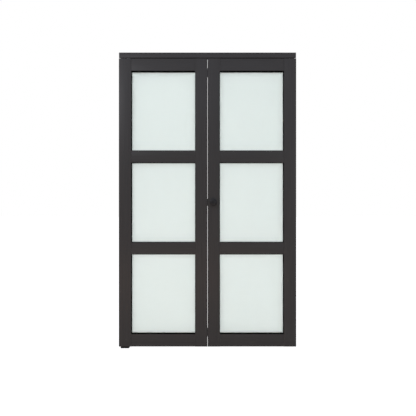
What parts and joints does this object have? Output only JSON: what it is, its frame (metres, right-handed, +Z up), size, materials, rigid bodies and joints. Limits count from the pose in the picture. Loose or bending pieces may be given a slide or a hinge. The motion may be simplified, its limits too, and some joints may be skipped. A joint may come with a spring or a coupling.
{
  "type": "glazed bifold door",
  "caption": "Glazed bifold door: two framed leaves with frosted lites, hinged together and folding on pivots and a guide wheel under a head track with fascia.",
  "frame": {"origin": "on the floor, on the axis that the left leaf turns about, at the underside of the floor bracket and in the middle of the leaf's thickness", "axes": "+X to the right along the closed door, -Y towards the room that the door folds into, +Z up"},
  "size_m": [1.2192, 0.0704, 2.032],
  "materials": {
    "dark_frame_paint": "satin",
    "frosted_glass": "matte",
    "gasket_rubber": "matte",
    "beech_dowel": "matte",
    "black_track": "satin",
    "galvanised_track": "satin",
    "black_knob": "satin",
    "black_cast_bracket": "satin",
    "black_hinge_plate": "satin",
    "black_screws": "satin",
    "zinc_steel": "satin",
    "nylon_sleeve": "matte",
    "nylon_wheel": "matte"
  },
  "bodies": {
    "head_and_floor": {"head_track": "black_track", "fascia": "dark_frame_paint", "fascia_screws": "zinc_steel", "top_pivot_bracket": "galvanised_track", "top_pivot_clamp_screw": "zinc_steel", "floor_bracket": "black_cast_bracket"},
    "pivot_leaf": {"bottom_hinge_pivot_plate": "black_hinge_plate", "bottom_pivot_bolt": "zinc_steel", "bottom_pivot_sleeve": "nylon_sleeve", "hinge_pins": "black_screws", "middle_hinge_pivot_plate": "black_hinge_plate", "pivot_leaf_bottom_beads": "dark_frame_paint", "pivot_leaf_bottom_gasket": "gasket_rubber", "pivot_leaf_bottom_glass": "frosted_glass", "pivot_leaf_bottom_rail": "dark_frame_paint", "pivot_leaf_dowels": "beech_dowel", "pivot_leaf_hinge_screws": "black_screws", "pivot_leaf_hinge_stile": "dark_frame_paint", "pivot_leaf_lower_rail": "dark_frame_paint", "pivot_leaf_middle_beads": "dark_frame_paint", "pivot_leaf_middle_gasket": "gasket_rubber", "pivot_leaf_middle_glass": "frosted_glass", "pivot_leaf_outer_stile": "dark_frame_paint", "pivot_leaf_top_beads": "dark_frame_paint", "pivot_leaf_top_gasket": "gasket_rubber", "pivot_leaf_top_glass": "frosted_glass", "pivot_leaf_top_rail": "dark_frame_paint", "pivot_leaf_upper_rail": "dark_frame_paint", "top_hinge_pivot_plate": "black_hinge_plate", "top_pivot_sleeve": "nylon_sleeve", "top_pivot_spring": "zinc_steel"},
    "lead_leaf": {"bottom_hinge_lead_plate": "black_hinge_plate", "guide_sleeve": "nylon_sleeve", "guide_spring": "zinc_steel", "knob": "black_knob", "knob_screw": "black_screws", "lead_leaf_bottom_beads": "dark_frame_paint", "lead_leaf_bottom_gasket": "gasket_rubber", "lead_leaf_bottom_glass": "frosted_glass", "lead_leaf_bottom_rail": "dark_frame_paint", "lead_leaf_dowels": "beech_dowel", "lead_leaf_hinge_screws": "black_screws", "lead_leaf_hinge_stile": "dark_frame_paint", "lead_leaf_lower_rail": "dark_frame_paint", "lead_leaf_middle_beads": "dark_frame_paint", "lead_leaf_middle_gasket": "gasket_rubber", "lead_leaf_middle_glass": "frosted_glass", "lead_leaf_outer_stile": "dark_frame_paint", "lead_leaf_top_beads": "dark_frame_paint", "lead_leaf_top_gasket": "gasket_rubber", "lead_leaf_top_glass": "frosted_glass", "lead_leaf_top_rail": "dark_frame_paint", "lead_leaf_upper_rail": "dark_frame_paint", "middle_hinge_lead_plate": "black_hinge_plate", "top_hinge_lead_plate": "black_hinge_plate"},
    "top_pivot": {"top_pivot_pin": "zinc_steel"},
    "guide": {"guide_pin": "zinc_steel"},
    "guide_wheel": {"guide_wheel": "nylon_wheel"}
  },
  "joints": [
    {"name": "pivot_leaf_fold", "type": "hinge", "parent": "head_and_floor", "child": "pivot_leaf", "pos_m": [0, 0, 0], "axis": [0, 0, -1], "range_deg": [0, 85]},
    {"name": "lead_leaf_fold", "type": "hinge", "parent": "pivot_leaf", "child": "lead_leaf", "pos_m": [0.5666, 0.0215, 0], "axis": [0, 0, 1], "range_deg": [0, 170]},
    {"name": "top_pivot_press", "type": "slide", "parent": "pivot_leaf", "child": "top_pivot", "axis": [0, 0, 1], "range_m": [-0.016, 0], "stiffness_N_per_m": 1200, "springref_m": 0.012, "deforming": ["top_pivot_spring"]},
    {"name": "guide_press", "type": "slide", "parent": "lead_leaf", "child": "guide", "axis": [0, 0, 1], "range_m": [-0.016, 0], "stiffness_N_per_m": 1200, "springref_m": 0.012, "deforming": ["guide_spring"]},
    {"name": "guide_wheel_spin", "type": "hinge", "parent": "guide", "child": "guide_wheel", "pos_m": [1.1332, 0, 0], "axis": [0, 0, 1], "continuous": true}
  ],
  "couplings": [
    {"joint": "lead_leaf_fold", "follows": "pivot_leaf_fold", "ratio": 2}
  ]
}
